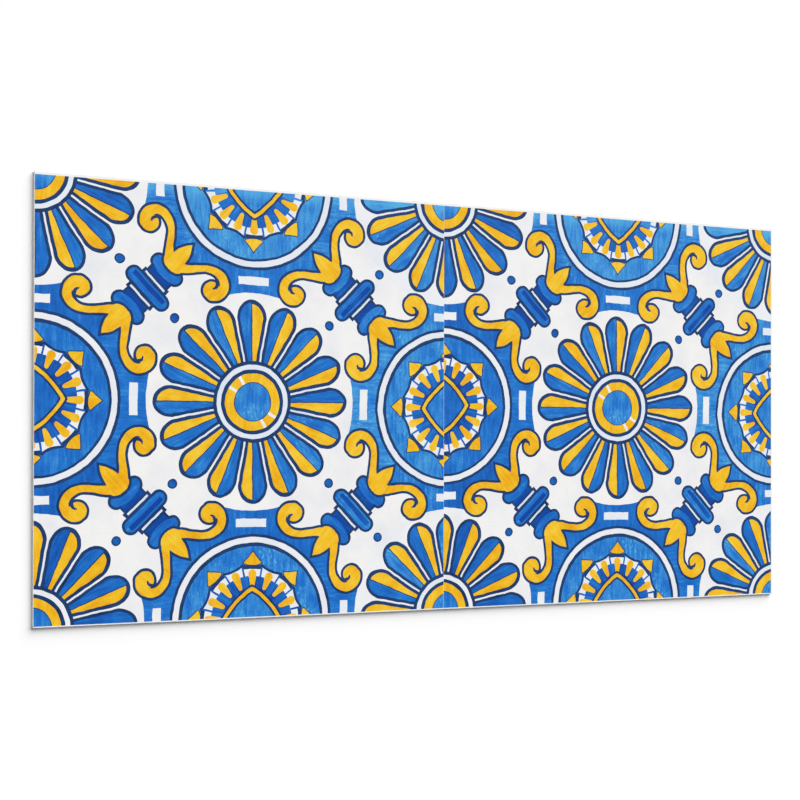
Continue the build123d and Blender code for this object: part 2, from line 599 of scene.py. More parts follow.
def add_node(tree, kind, inputs=None, **settings):
    """A node with its settings, and its inputs either linked or filled in, by name or number."""
    node = tree.nodes.new(kind)
    for name, value in settings.items():
        setattr(node, name, value)
    for key, value in (inputs or {}).items():
        socket = node.inputs[key]
        if isinstance(value, bpy.types.NodeSocket):
            tree.links.new(value, socket)
        else:
            socket.default_value = value
    return node


def math_node(tree, operation, *values):
    """One step of arithmetic; gives the output socket."""
    node = add_node(tree, "ShaderNodeMath", dict(enumerate(values)), operation=operation)
    return node.outputs[0]


def vector_node(tree, operation, *values, scale=None):
    """One step of vector arithmetic; gives the output socket."""
    inputs = dict(enumerate(values))
    if scale is not None:
        inputs["Scale"] = scale
    return add_node(tree, "ShaderNodeVectorMath", inputs, operation=operation).outputs[0]


def turn_about_z(tree, angle):
    """A rotation socket for a turn in the plane of the panel."""
    euler = add_node(tree, "ShaderNodeCombineXYZ", {"Z": angle})
    return add_node(tree, "FunctionNodeEulerToRotation", {0: euler.outputs[0]}).outputs[0]


def wander(tree, geometry, amount, size, seed):
    """Moves points in the plane by a slow noise, as an unsteady hand would."""
    place = add_node(tree, "GeometryNodeInputPosition").outputs[0]
    scaled = vector_node(tree, "SCALE", place, scale=math_node(tree, "DIVIDE", 1.0, size))
    noise = add_node(tree, "ShaderNodeTexNoise", {"Vector": scaled, "W": seed, "Scale": 1.0, "Detail": 1.0},
                     noise_dimensions="4D")
    centred = vector_node(tree, "SUBTRACT", noise.outputs["Color"], (0.5, 0.5, 0.5))
    flat = vector_node(tree, "MULTIPLY", centred, (2.0, 2.0, 0.0))
    offset = vector_node(tree, "SCALE", flat, scale=amount)
    moved = add_node(tree, "GeometryNodeSetPosition", {"Geometry": geometry, "Offset": offset})
    return moved.outputs[0]


# Keeps the quick wander from following the slow one
QUICK_SEED_STEP = 31.7

REPEAT_INPUTS = (
    ("Geometry", "Geometry"), ("Count", "Int"), ("Start", "Float"), ("Pitch", "Float"), ("Side", "Int"),
    ("Every", "Int"), ("First", "Int"), ("Cell Turn", "Float"), ("Turn", "Float"), ("Middle", "Vector"),
    ("Wobble", "Float"), ("Wobble Size", "Float"), ("Tremble", "Float"), ("Tremble Size", "Float"),
    ("Seed", "Float"), ("Ink", "Material"),
)


def repeat_tree():
    """A stamp goes round its motif, the motif over the lattice, and a hand wanders along it all."""
    tree = bpy.data.node_groups.new("Repeat Stamp", "GeometryNodeTree")
    for name, kind in REPEAT_INPUTS:
        tree.interface.new_socket(name, in_out="INPUT", socket_type="NodeSocket" + kind)
    tree.interface.new_socket("Geometry", in_out="OUTPUT", socket_type="NodeSocketGeometry")
    given = tree.nodes.new("NodeGroupInput").outputs
    index = add_node(tree, "GeometryNodeInputIndex").outputs[0]

    share = math_node(tree, "DIVIDE", math.tau, given["Count"])
    round_angle = math_node(tree, "MULTIPLY_ADD", index, share, given["Start"])
    round_points = add_node(tree, "GeometryNodePoints", {"Count": given["Count"]}).outputs[0]
    motif = add_node(tree, "GeometryNodeInstanceOnPoints", {
        "Points": round_points, "Instance": given["Geometry"],
        "Rotation": turn_about_z(tree, round_angle)}).outputs[0]

    width = math_node(tree, "MULTIPLY", given["Pitch"], math_node(tree, "SUBTRACT", given["Side"], 1.0))
    lattice = add_node(tree, "GeometryNodeMeshGrid", {
        "Size X": width, "Size Y": width,
        "Vertices X": given["Side"], "Vertices Y": given["Side"]}).outputs[0]
    rest = math_node(tree, "MODULO", index, given["Every"])
    chosen = math_node(tree, "COMPARE", rest, given["First"], 0.1)
    half_index = math_node(tree, "MULTIPLY", math_node(tree, "ADD", index, 1.0), 0.5)
    checker = math_node(tree, "MODULO", math_node(tree, "FLOOR", half_index), 2.0)
    cell_angle = math_node(tree, "MULTIPLY", checker, given["Cell Turn"])
    spread = add_node(tree, "GeometryNodeInstanceOnPoints", {
        "Points": lattice, "Selection": chosen, "Instance": motif,
        "Rotation": turn_about_z(tree, cell_angle)}).outputs[0]

    real = add_node(tree, "GeometryNodeRealizeInstances", {"Geometry": spread}).outputs[0]
    askew = add_node(tree, "GeometryNodeTransform", {
        "Geometry": real, "Translation": given["Middle"],
        "Rotation": turn_about_z(tree, given["Turn"])}).outputs[0]
    slow = wander(tree, askew, given["Wobble"], given["Wobble Size"], given["Seed"])
    quick_seed = math_node(tree, "ADD", given["Seed"], QUICK_SEED_STEP)
    quick = wander(tree, slow, given["Tremble"], given["Tremble Size"], quick_seed)
    inked = add_node(tree, "GeometryNodeSetMaterial", {"Geometry": quick, "Material": given["Ink"]})
    tree.links.new(inked.outputs[0], tree.nodes.new("NodeGroupOutput").inputs[0])
    return tree


def drawn_shapes(one, tree, settings):
    """The outlines of one stamp wherever it is repeated, each with the direction of its brush strokes."""
    lattice = settings.lattice
    count = len(one.outline)
    mesh = bpy.data.meshes.new("stamp")
    mesh.from_pydata([(x, y, 0.0) for x, y in one.outline], [], [range(count)])
    holder = bpy.data.objects.new("stamp", mesh)
    bpy.context.scene.collection.objects.link(holder)
    repeat = holder.modifiers.new("Repeat", "NODES")
    repeat.node_group = tree
    values = {
        "Count": one.count, "Start": one.start, "Pitch": lattice.pitch, "Side": one.places.side,
        "Every": one.places.every, "First": one.places.first, "Cell Turn": one.places.cell_turn,
        "Turn": lattice.turn, "Middle": (*lattice.middle, 0.0), "Wobble": lattice.wobble,
        "Wobble Size": lattice.wobble_size, "Tremble": lattice.tremble, "Tremble Size": lattice.tremble_size,
        "Seed": float(lattice.seed), "Ink": bpy.data.materials[one.ink],
    }
    for item in tree.interface.items_tree:
        if item.in_out == "INPUT" and item.name in values:
            repeat[item.identifier] = values[item.name]
    evaluated = holder.evaluated_get(bpy.context.evaluated_depsgraph_get())
    result = bpy.data.meshes.new_from_object(evaluated)
    places = np.array([v.co[:2] for v in result.vertices])
    across = one.outline[count // 2] - one.outline[0]
    shapes = []
    offsets = in_metres(BALUSTER_OFFSETS if one.places == CELL_PLACES else MOTIF_OFFSETS)
    for face in result.polygons:
        spot = one.places.first + one.places.every * (face.index // one.count)
        column, row = np.array(divmod(spot, one.places.side)) - (one.places.side - 1) / 2
        paler = lattice.paler_right * column + lattice.paler_up * row
        outline = places[list(face.vertices)] + offsets[spot]
        turned = outline[count // 2] - outline[0]
        spin = math.atan2(turned[1], turned[0]) - math.atan2(across[1], across[0])
        shapes.append((outline, one.stroke + (0.0 if one.fixed_stroke else spin), one.tone + paler))
    repeat.node_group = None
    bpy.data.objects.remove(holder)
    bpy.data.meshes.remove(mesh)
    bpy.data.meshes.remove(result)
    return shapes


def draw_group(name, settings):
    """Keeps every shape of a group of stamps as one face of a flat drawing, in painter's order."""
    tree = bpy.data.node_groups.get("Repeat Stamp") or repeat_tree()
    uneven = np.random.default_rng(settings.lattice.seed)
    points, faces, inks, tones, strokes = [], [], [], [], []
    for one in STAMPS_OF[name](settings):
        for outline, stroke, tone in drawn_shapes(one, tree, settings):
            faces.append(range(len(points), len(points) + len(outline)))
            points.extend((x, y, 0.0) for x, y in outline)
            inks.append(INKS.index(one.ink))
            tones.append(tone + uneven.uniform(-UNEVEN_TONE, UNEVEN_TONE))
            strokes.append(stroke)
    drawing = bpy.data.meshes.new("drawing_" + name)
    drawing.from_pydata(points, [], faces)
    columns = (("ink", "INT", inks), ("tone", "FLOAT", tones), ("stroke", "FLOAT", strokes))
    for attribute, kind, values in columns:
        drawing.attributes.new(attribute, kind, "FACE").data.foreach_set("value", values)
    holder = bpy.data.objects.new("drawing_" + name, drawing)
    bpy.context.scene.collection.objects.link(holder)


# Pressing the drawing into the face of the sheet

# Points of the drawing this near to each other become one
JOIN_DISTANCE = 0.01 * MM
# Share of an edge below which nothing is left of it at the window
SHORTEST_EDGE = 1e-9
# Points along each rounded corner of the sheet
CORNER_POINTS = 5

Shape = namedtuple("Shape", "outline ink tone stroke")
Window = namedtuple("Window", "low high middle")


def collected_shapes():
    """Every drawn shape from the ground up; the drawings are used up."""
    shapes = []
    for name in DRAWN_GROUPS:
        holder = bpy.data.objects["drawing_" + name]
        mesh = holder.data
        places = np.array([v.co[:2] for v in mesh.vertices])
        columns = [np.empty(len(mesh.polygons), kind) for kind in (np.int32, np.float32, np.float32)]
        for attribute, column in zip(("ink", "tone", "stroke"), columns):
            mesh.attributes[attribute].data.foreach_get("value", column)
        for face, ink, tone, stroke in zip(mesh.polygons, *columns):
            shapes.append(Shape(places[list(face.vertices)], int(ink), float(tone), float(stroke)))
        bpy.data.objects.remove(holder)
        bpy.data.meshes.remove(mesh)
    return shapes


def print_windows(sheet):
    """The two squares of the print, left and right of the seam, each with the middle of its drawing."""
    left, right = SHEET_LOW.x + sheet.margin_left, SHEET_HIGH.x - sheet.margin_right
    low, high = SHEET_LOW.y + sheet.margin_bottom, SHEET_HIGH.y - sheet.margin_top
    margins = (sheet.margin_left, sheet.margin_right, sheet.margin_top, sheet.margin_bottom)
    if min(margins) <= sheet.arris_radius:
        raise ValueError("The print has to lie on the flat of the front face")
    seam, half_seam = (left + right) / 2, sheet.seam_width / 2
    half_width = (right - left) / 4
    return [
        Window((left, low), (seam - half_seam, high), np.array((seam - half_width, 0.0))),
        Window((seam + half_seam, low), (right, high), np.array((seam + half_width, 0.0))),
    ]


def clipped_edges(outline, window):
    """The edges of a closed outline, cut off at the window."""
    start = outline + window.middle
    end = np.roll(start, -1, axis=0)
    along = end - start
    enter, leave = np.zeros(len(start)), np.ones(len(start))
    inside = np.ones(len(start), bool)
    for axis in (0, 1):
        for sign, limit in ((-1, -window.low[axis]), (1, window.high[axis])):
            speed, room = sign * along[:, axis], limit - sign * start[:, axis]
            still = np.abs(speed) < TINY
            inside &= ~(still & (room < 0))
            crossing = np.divide(room, speed, out=np.zeros(len(start)), where=~still)
            enter = np.where(~still & (speed < 0), np.maximum(enter, crossing), enter)
            leave = np.where(~still & (speed > 0), np.minimum(leave, crossing), leave)
    keep = inside & (leave - enter > SHORTEST_EDGE)
    return start[keep] + along[keep] * enter[keep, None], start[keep] + along[keep] * leave[keep, None]


def rim_loop(sheet):
    """The edge of the flat front, where the arris begins, and the outward direction at each point."""
    inset = sheet.arris_radius
    radius = sheet.corner_radius - inset
    corner_x, corner_y = SHEET_HIGH.x - sheet.corner_radius, SHEET_HIGH.y - sheet.corner_radius
    points, outward = [], []
    for k, (sx, sy) in enumerate(((1, 1), (-1, 1), (-1, -1), (1, -1))):
        for angle in np.linspace(k * math.pi / 2, (k + 1) * math.pi / 2, CORNER_POINTS):
            direction = np.array((math.cos(angle), math.sin(angle)))
            points.append(np.array((sx * corner_x, sy * corner_y)) + radius * direction)
            outward.append(direction)
    return np.array(points), np.array(outward)


def face_triangles(shapes, windows, rim):
    """Cuts the front face along every edge of the drawing; gives its points and triangles."""
    starts, ends = [], []
    for window in windows:
        for shape in shapes:
            start, end = clipped_edges(shape.outline, window)
            starts.append(start)
            ends.append(end)
        (x0, y0), (x1, y1) = window.low, window.high
        frame_corners = np.array(((x0, y0), (x1, y0), (x1, y1), (x0, y1)))
        starts.append(frame_corners)
        ends.append(np.roll(frame_corners, -1, axis=0))
    starts, ends = np.vstack(starts), np.vstack(ends)
    points = np.vstack((rim, starts, ends))
    count, edges = len(rim), len(starts)
    lines = [(k, (k + 1) % count) for k in range(count)]
    lines += [(count + k, count + edges + k) for k in range(edges)]
    cut = delaunay_2d_cdt([tuple(p) for p in points], lines, [], 0, JOIN_DISTANCE)
    return np.array([tuple(v) for v in cut[0]]), np.array(cut[2])


def winding(outline, places):
    """How often a closed outline runs round each place."""
    turns = np.zeros(len(places), int)
    x, y = places[:, 0], places[:, 1]
    for (x0, y0), (x1, y1) in zip(outline, np.roll(outline, -1, axis=0)):
        left_of = (x1 - x0) * (y - y0) - (x - x0) * (y1 - y0)
        turns += (y0 <= y) & (y1 > y) & (left_of > 0)
        turns -= (y0 > y) & (y1 <= y) & (left_of < 0)
    return turns


def inked_triangles(middles, shapes, windows):
    """The shape that shows on each triangle, and the half it lies in; -1 for none."""
    showing = np.full(len(middles), -1)
    half = np.full(len(middles), -1)
    for side, window in enumerate(windows):
        inside = ((middles > window.low) & (middles < window.high)).all(axis=1)
        half[inside] = side
        own = np.where(inside)[0]
        local = middles[own] - window.middle
        for k, shape in enumerate(shapes):
            low, high = shape.outline.min(axis=0), shape.outline.max(axis=0)
            near = ((local > low) & (local < high)).all(axis=1)
            hit = own[near][winding(shape.outline, local[near]) != 0]
            showing[hit] = k
    return showing, half


def press_panel(settings):
    """The printed sheet as one closed mesh: inked front, rounded arris, side walls and back."""
    sheet = settings.sheet
    shapes = collected_shapes()
    windows = print_windows(sheet)
    rim, outward = rim_loop(sheet)
    points, triangles = face_triangles(shapes, windows, rim)
    middles = points[triangles].mean(axis=1)
    showing, half = inked_triangles(middles, shapes, windows)

    front = SHEET_HIGH.z
    vertices = [(x, y, front) for x, y in points]
    faces = [tuple(t) for t in triangles]
    ring = list(range(len(rim)))
    slots = [INKS.index("vinyl") if h < 0 else (shapes[k].ink if k >= 0 else INKS.index("ground"))
             for k, h in zip(showing, half)]
    levels = [(sheet.arris_radius * math.sin(a), front - sheet.arris_radius * (1 - math.cos(a)))
              for a in np.linspace(0.0, math.pi / 2, sheet.arris_steps + 1)[1:]]
    levels.append((sheet.arris_radius, SHEET_LOW.z))
    for reach, height in levels:
        lower = list(range(len(vertices), len(vertices) + len(rim)))
        vertices += [(x, y, height) for x, y in rim + outward * reach]
        for k in range(len(rim)):
            after = (k + 1) % len(rim)
            faces.append((ring[k], lower[k], lower[after], ring[after]))
            slots.append(INKS.index("vinyl"))
        ring = lower
    faces.append(tuple(reversed(ring)))
    slots.append(INKS.index("adhesive"))

    mesh = bpy.data.meshes.new(PIECE_NAME)
    mesh.from_pydata(vertices, [], faces)
    for ink in INKS:
        mesh.materials.append(bpy.data.materials[ink])
    mesh.polygons.foreach_set("material_index", slots)
    paint_guides(mesh, len(triangles), showing, half, shapes, windows)
    mesh.validate()
    mesh.update()
    panel = bpy.data.objects.new(PIECE_NAME, mesh)
    bpy.context.scene.collection.objects.link(panel)
    return panel


# Layout of the map to bake through: the front above, then a strip with the back and the edges
FRONT_SHARE = 0.9
BACK_PLACE, BACK_SIZE = (0.02, 0.01), (0.45, 0.08)
LONG_EDGES, SHORT_EDGES, EDGE_RUN = 0.51, 0.76, 0.22
EDGE_PLACE, EDGE_HEIGHT, EDGE_PITCH = 0.01, 0.036, 0.04
# Each shape is painted from another place of the brush's noise
BRUSH_SEED, BRUSH_ROOM = 11, 2.0


def paint_guides(mesh, front_count, showing, half, shapes, windows):
    """Maps that the inks read: place in the half and along the brush, tone, and the map to bake through."""
    print_map, brush_map, bake_map = np.zeros((3, len(mesh.loops), 2))
    tones = np.full(len(mesh.polygons), PLAIN)
    places = np.array([v.co for v in mesh.vertices])
    length, height = SHEET_HIGH.x - SHEET_LOW.x, SHEET_HIGH.y - SHEET_LOW.y
    spacing = np.random.default_rng(BRUSH_SEED).uniform(0.0, BRUSH_ROOM, (len(shapes) + 1, 2))
    for face in mesh.polygons:
        at = slice(face.loop_start, face.loop_start + face.loop_total)
        co = places[[mesh.loops[k].vertex_index for k in range(at.start, at.stop)]]
        place = co[:, :2]
        across = (place - (SHEET_LOW.x, SHEET_LOW.y)) / (length, height)
        if face.index < front_count:
            middle = windows[half[face.index]].middle if half[face.index] >= 0 else np.zeros(2)
            local = place - middle
            shape = shapes[showing[face.index]] if showing[face.index] >= 0 else None
            stroke = shape.stroke if shape else 0.0
            tones[face.index] = shape.tone if shape else PLAIN
            cos, sin = math.cos(stroke), math.sin(stroke)
            print_map[at] = local
            brush_map[at] = local @ ((cos, -sin), (sin, cos)) + spacing[showing[face.index]]
            bake_map[at] = across * (1.0, FRONT_SHARE) + (0.0, 1.0 - FRONT_SHARE)
        elif face.normal.z < -0.5:
            print_map[at] = place
            bake_map[at] = across * BACK_SIZE + BACK_PLACE
        else:
            print_map[at] = np.column_stack((co[:, 0] + co[:, 1], co[:, 2]))
            on_long_edge = abs(face.normal.y) > abs(face.normal.x)
            run = across[:, :1] if on_long_edge else across[:, 1:]
            turned_away = face.normal.x + face.normal.y < 0
            bake_map[at] = np.column_stack((
                (LONG_EDGES if on_long_edge else SHORT_EDGES) + EDGE_RUN * run,
                EDGE_PLACE + EDGE_HEIGHT * co[:, 2:] / SHEET_HIGH.z + EDGE_PITCH * turned_away))
    for name, values in (("Print", print_map), ("Brush", brush_map), ("OFBake", bake_map)):
        mesh.uv_layers.new(name=name).data.foreach_set("uv", values.ravel())
    mesh.attributes.new("tone", "FLOAT", "FACE").data.foreach_set("value", tones)


# Shared effects of the inks

# Roughness of the clear film over the print, and how much the sheet mirrors
FILM_GLOSS, SHINE = 0.35, 0.06
# Orange peel of the clear film
PEEL_STRENGTH, PEEL_DEPTH = 0.06, 0.2 * MM
# Cells of the crackle along one metre
CRACKLE_CELLS = 75.0
# Noise of a wash, in cycles along one metre; strokes have one number along the brush and one across it
POOL_SCALE, GRAIN_SCALE, PATCH_SCALE = 70.0, 900.0, 36.0
LONG_STROKES, SHORT_STROKES = (60.0, 420.0, 0.0), (260.0, 620.0, 0.0)
# Noise values and tones between which the specks of a thin wash set in
SKIPPED, PATCHES, THIN = (0.54, 0.7), (0.5, 0.64), (0.46, 0.6)
# Heights in a half between which the wash turns watery
WATERY_HEIGHTS = (0.138, 0.148)


def shader_group(name, inputs, outputs):
    """An empty shader group with its sockets; gives the group and its inside ends."""
    group = bpy.data.node_groups.new(name, "ShaderNodeTree")
    for label, kind, default in inputs:
        socket = group.interface.new_socket(label, in_out="INPUT", socket_type="NodeSocket" + kind)
        socket.default_value = default
    for label, kind in outputs:
        group.interface.new_socket(label, in_out="OUTPUT", socket_type="NodeSocket" + kind)
    return group, group.nodes.new("NodeGroupInput").outputs, group.nodes.new("NodeGroupOutput").inputs


def map_socket(tree, name):
    """The place read from one of the piece's own maps."""
    return add_node(tree, "ShaderNodeUVMap", uv_map=name).outputs[0]


def noise_socket(tree, place, scale, detail=2.0, roughness=0.5, distortion=0.0):
    """A noise value from 0 to 1."""
    node = add_node(tree, "ShaderNodeTexNoise", {
        "Vector": place, "Scale": scale, "Detail": detail, "Roughness": roughness, "Distortion": distortion})
    return node.outputs[0]


def mixed(tree, amount, first, second):
    """A colour between two colours."""
    node = add_node(tree, "ShaderNodeMix", data_type="RGBA")
    for key, value in (("Factor_Float", amount), ("A_Color", first), ("B_Color", second)):
        socket = next(s for s in node.inputs if s.identifier == key)
        if isinstance(value, bpy.types.NodeSocket):
            tree.links.new(value, socket)
        else:
            socket.default_value = value
    return next(s for s in node.outputs if s.identifier == "Result_Color")


def between(tree, value, low, high):
    """Zero below the low value, one above the high one, and an even slope between."""
    node = add_node(tree, "ShaderNodeMapRange", {"Value": value, "From Min": low, "From Max": high})
    return node.outputs[0]


def brush_wash_group():
    """A wash laid with a brush: pools, streaks along the stroke, and the tone that the shape was given."""
    black = (0.0, 0.0, 0.0, 1.0)
    group, given, out = shader_group("Brush Wash", (
        ("Deep", "Color", black), ("Plain", "Color", black), ("Pale", "Color", black),
        ("Pools", "Float", 0.5), ("Streaks", "Float", 0.5), ("Grain", "Float", 0.2),
        ("Specks", "Float", 0.0), ("Watery Top", "Float", 0.0)), (("Color", "Color"),))
    print_place, brush_place = map_socket(group, "Print"), map_socket(group, "Brush")
    long_strokes = vector_node(group, "MULTIPLY", brush_place, LONG_STROKES)
    pools = noise_socket(group, print_place, POOL_SCALE, 3.0, 0.55)
    streaks = noise_socket(group, long_strokes, 1.0, 3.0, 0.6, 0.4)
    grain = noise_socket(group, print_place, GRAIN_SCALE, 2.0, 0.6)
    short_strokes = vector_node(group, "MULTIPLY", brush_place, SHORT_STROKES)
    skipped = between(group, noise_socket(group, short_strokes, 1.0, 2.0, 0.6), *SKIPPED)
    patches = between(group, noise_socket(group, print_place, PATCH_SCALE, 2.0), *PATCHES)
    tone = add_node(group, "ShaderNodeAttribute", attribute_name="tone").outputs["Fac"]
    thin = between(group, tone, *THIN)
    specks = math_node(group, "MULTIPLY", math_node(group, "MULTIPLY", skipped, patches), thin)
    tone = math_node(group, "MULTIPLY_ADD", specks, given["Specks"], tone)
    height = add_node(group, "ShaderNodeSeparateXYZ", {0: print_place}).outputs["Y"]
    watery = between(group, height, *WATERY_HEIGHTS)
    tone = math_node(group, "MULTIPLY_ADD", watery, given["Watery Top"], tone)
    for value, weight in ((pools, given["Pools"]), (streaks, given["Streaks"]), (grain, given["Grain"])):
        tone = math_node(group, "MULTIPLY_ADD", math_node(group, "SUBTRACT", value, 0.5), weight, tone)
    lower = mixed(group, between(group, tone, 0.0, 0.5), given["Deep"], given["Plain"])
    upper = mixed(group, between(group, tone, 0.5, 1.0), lower, given["Pale"])
    group.links.new(upper, out["Color"])
    return group


def film_group():
    """The clear film over the print: faint orange peel and slightly uneven gloss."""
    group, given, out = shader_group("Clear Film", (("Gloss", "Float", FILM_GLOSS),),
                                     (("Height", "Float"), ("Roughness", "Float")))
    place = add_node(group, "ShaderNodeTexCoord").outputs["Object"]
    peel = noise_socket(group, place, 450.0, 2.0, 0.5)
    smears = noise_socket(group, place, 14.0, 3.0, 0.6)
    group.links.new(peel, out["Height"])
    centred = math_node(group, "SUBTRACT", smears, 0.5)
    uneven = math_node(group, "MULTIPLY_ADD", centred, 0.12, given["Gloss"])
    group.links.new(uneven, out["Roughness"])
    return group


def crackle_group():
    """Faint crackle and clouds of the glaze that was copied for the print."""
    group, given, out = shader_group("Glaze Crackle", (("Cell", "Float", CRACKLE_CELLS),),
                                     (("Lines", "Float"), ("Clouds", "Float")))
    place = map_socket(group, "Print")
    bends = add_node(group, "ShaderNodeTexNoise", {"Vector": place, "Scale": 90.0, "Detail": 2.0})
    offset = vector_node(group, "SCALE", bends.outputs["Color"], scale=6 * MM)
    bent = vector_node(group, "ADD", place, offset)
    cells = add_node(group, "ShaderNodeTexVoronoi", {"Vector": bent, "Scale": given["Cell"]},
                     feature="DISTANCE_TO_EDGE").outputs["Distance"]
    fade = between(group, noise_socket(group, place, 25.0, 2.0), 0.42, 0.62)
    lines = math_node(group, "SUBTRACT", 1.0, between(group, cells, 0.0, 0.035))
    group.links.new(math_node(group, "MULTIPLY", lines, fade), out["Lines"])
    group.links.new(noise_socket(group, place, 38.0, 4.0, 0.6), out["Clouds"])
    return group


def placed_group(tree, name, maker, inputs):
    """A shared effect placed in a material; it is built the first time it is asked for."""
    group = bpy.data.node_groups.get(name) or maker()
    node = tree.nodes.new("ShaderNodeGroup")
    node.node_tree = group
    for key, value in inputs.items():
        node.inputs[key].default_value = value
    return node.outputs


def with_alpha(color):
    """A colour with full cover."""
    return (*color, 1.0)


def new_material(name, color, roughness):
    """A material with plain values on its shader; gives its tree and its shader."""
    material = bpy.data.materials.new(name)
    material.use_nodes = True
    shader = material.node_tree.nodes["Principled BSDF"]
    shader.inputs["Base Color"].default_value = with_alpha(color)
    shader.inputs["Roughness"].default_value = roughness
    shader.inputs["Specular IOR Level"].default_value = SHINE
    material.diffuse_color = with_alpha(color)
    return material.node_tree, shader


def lay_film(tree, shader):
    """Puts the clear film's unevenness on a shader."""
    film = placed_group(tree, "Clear Film", film_group, {"Gloss": FILM_GLOSS})
    tree.links.new(film["Roughness"], shader.inputs["Roughness"])
    bump = add_node(tree, "ShaderNodeBump", {
        "Strength": PEEL_STRENGTH, "Distance": PEEL_DEPTH, "Height": film["Height"]})
    tree.links.new(bump.outputs[0], shader.inputs["Normal"])


def wash_material(name, deep, plain, pale, pools, streaks, grain, specks=0.0, watery_top=0.0):
    """An ink laid on as a wash."""
    tree, shader = new_material(name, plain, FILM_GLOSS)
    wash = placed_group(tree, "Brush Wash", brush_wash_group, {
        "Deep": with_alpha(deep), "Plain": with_alpha(plain), "Pale": with_alpha(pale),
        "Pools": pools, "Streaks": streaks, "Grain": grain, "Specks": specks, "Watery Top": watery_top})
    tree.links.new(wash["Color"], shader.inputs["Base Color"])
    lay_film(tree, shader)


def ground_material(inks):
    """White glaze with faint crackle."""
    tree, shader = new_material("ground", inks.ground, FILM_GLOSS)
    crackle = placed_group(tree, "Glaze Crackle", crackle_group, {"Cell": CRACKLE_CELLS})
    tone = add_node(tree, "ShaderNodeAttribute", attribute_name="tone").outputs["Fac"]
    coolness = between(tree, tone, PLAIN, COOL)
    plain = mixed(tree, coolness, with_alpha(inks.ground), with_alpha(inks.ground_cool))
    shaded = mixed(tree, 0.14, plain, with_alpha(inks.blue))
    cloudy = mixed(tree, between(tree, crackle["Clouds"], 0.42, 0.8), plain, shaded)
    lined = mixed(tree, math_node(tree, "MULTIPLY", crackle["Lines"], 0.35), cloudy, shaded)
    tree.links.new(lined, shader.inputs["Base Color"])
    lay_film(tree, shader)


def sheet_material(name, color, roughness, grain, detail, dullness, depth):
    """A bare side of the sheet, with a fine grain that dulls its colour and roughens it."""
    tree, shader = new_material(name, color, roughness)
    place = add_node(tree, "ShaderNodeTexCoord").outputs["Object"]
    noise = noise_socket(tree, vector_node(tree, "MULTIPLY", place, grain), 1.0, detail)
    dull = with_alpha([c * dullness for c in color])
    tree.links.new(mixed(tree, noise, dull, with_alpha(color)), shader.inputs["Base Color"])
    bump = add_node(tree, "ShaderNodeBump", {"Strength": depth, "Distance": 0.1 * MM, "Height": noise})
    tree.links.new(bump.outputs[0], shader.inputs["Normal"])


def mix_inks(inks):
    """Every material of the panel, in slot order."""
    ground_material(inks)
    wash_material("blue", inks.blue_deep, inks.blue, inks.blue_pale,
                  pools=0.6, streaks=0.85, grain=0.4, specks=0.9, watery_top=0.35)
    wash_material("navy", inks.navy, inks.navy_thin, inks.navy_thin, pools=1.3, streaks=0.8, grain=0.4)
    wash_material("yellow", inks.yellow_deep, inks.yellow, inks.yellow_pale,
                  pools=1.8, streaks=1.4, grain=0.8)
    # Sawn grain on the cut edge, and a roller's texture in the adhesive
    sheet_material("vinyl", inks.vinyl, roughness=0.45, grain=(700.0, 700.0, 2500.0),
                   detail=3.0, dullness=0.93, depth=0.1)
    sheet_material("adhesive", inks.adhesive, roughness=0.5, grain=(30.0, 500.0, 1.0),
                   detail=2.0, dullness=0.9, depth=0.15)


# Stage

# Film to which the lens belongs, in millimetres, and the nearest distance that is seen
FILM_WIDTH, NEAREST = 36.0, 10 * MM


def white_for_camera(tree):
    """One where the stage is seen directly, in a gloss or through glass, and zero where it only lights."""
    path = tree.nodes.new("ShaderNodeLightPath").outputs
    seen = math_node(tree, "MAXIMUM", path["Is Camera Ray"], path["Is Glossy Ray"])
    return math_node(tree, "MAXIMUM", seen, path["Is Transmission Ray"])


def lay_floor(stage):
    """A wide pale floor just under the sheet."""
    half = stage.floor_size / 2
    level = SHEET_LOW.z - stage.floor_gap
    mesh = bpy.data.meshes.new("floor")
    corners = [(x * half, y * half, level) for x, y in ((-1, -1), (1, -1), (1, 1), (-1, 1))]
    mesh.from_pydata(corners, [], [(0, 1, 2, 3)])
    floor = bpy.data.objects.new("floor", mesh)
    bpy.context.scene.collection.objects.link(floor)
    material = bpy.data.materials.new("floor")
    material.use_nodes = True
    tree = material.node_tree
    tree.nodes.remove(tree.nodes["Principled BSDF"])
    matte = add_node(tree, "ShaderNodeBsdfDiffuse", {"Color": with_alpha(stage.floor_color)})
    lift = math_node(tree, "MULTIPLY", white_for_camera(tree), stage.floor_lift)
    glow = add_node(tree, "ShaderNodeEmission", {"Strength": lift})
    both = add_node(tree, "ShaderNodeAddShader", {0: matte.outputs[0], 1: glow.outputs[0]})
    tree.links.new(both.outputs[0], tree.nodes["Material Output"].inputs["Surface"])
    mesh.materials.append(material)


def light_stage(stage):
    """Even light from all round, and one soft lamp from the upper right."""
    world = bpy.data.worlds.new("studio")
    bpy.context.scene.world = world
    world.use_nodes = True
    tree = world.node_tree
    seen = white_for_camera(tree)
    strength = add_node(tree, "ShaderNodeMapRange", {"Value": seen, "To Min": stage.sky, "To Max": 1.0})
    tree.links.new(strength.outputs[0], tree.nodes["Background"].inputs["Strength"])
    tree.nodes["Background"].inputs["Color"].default_value = (1.0, 1.0, 1.0, 1.0)
    lamp = bpy.data.lights.new("lamp", "SUN")
    lamp.energy = stage.lamp
    lamp.angle = stage.lamp_spread
    holder = bpy.data.objects.new("lamp", lamp)
    holder.rotation_euler = (0.0, math.pi / 2 - stage.lamp_height, stage.lamp_side)
    bpy.context.scene.collection.objects.link(holder)


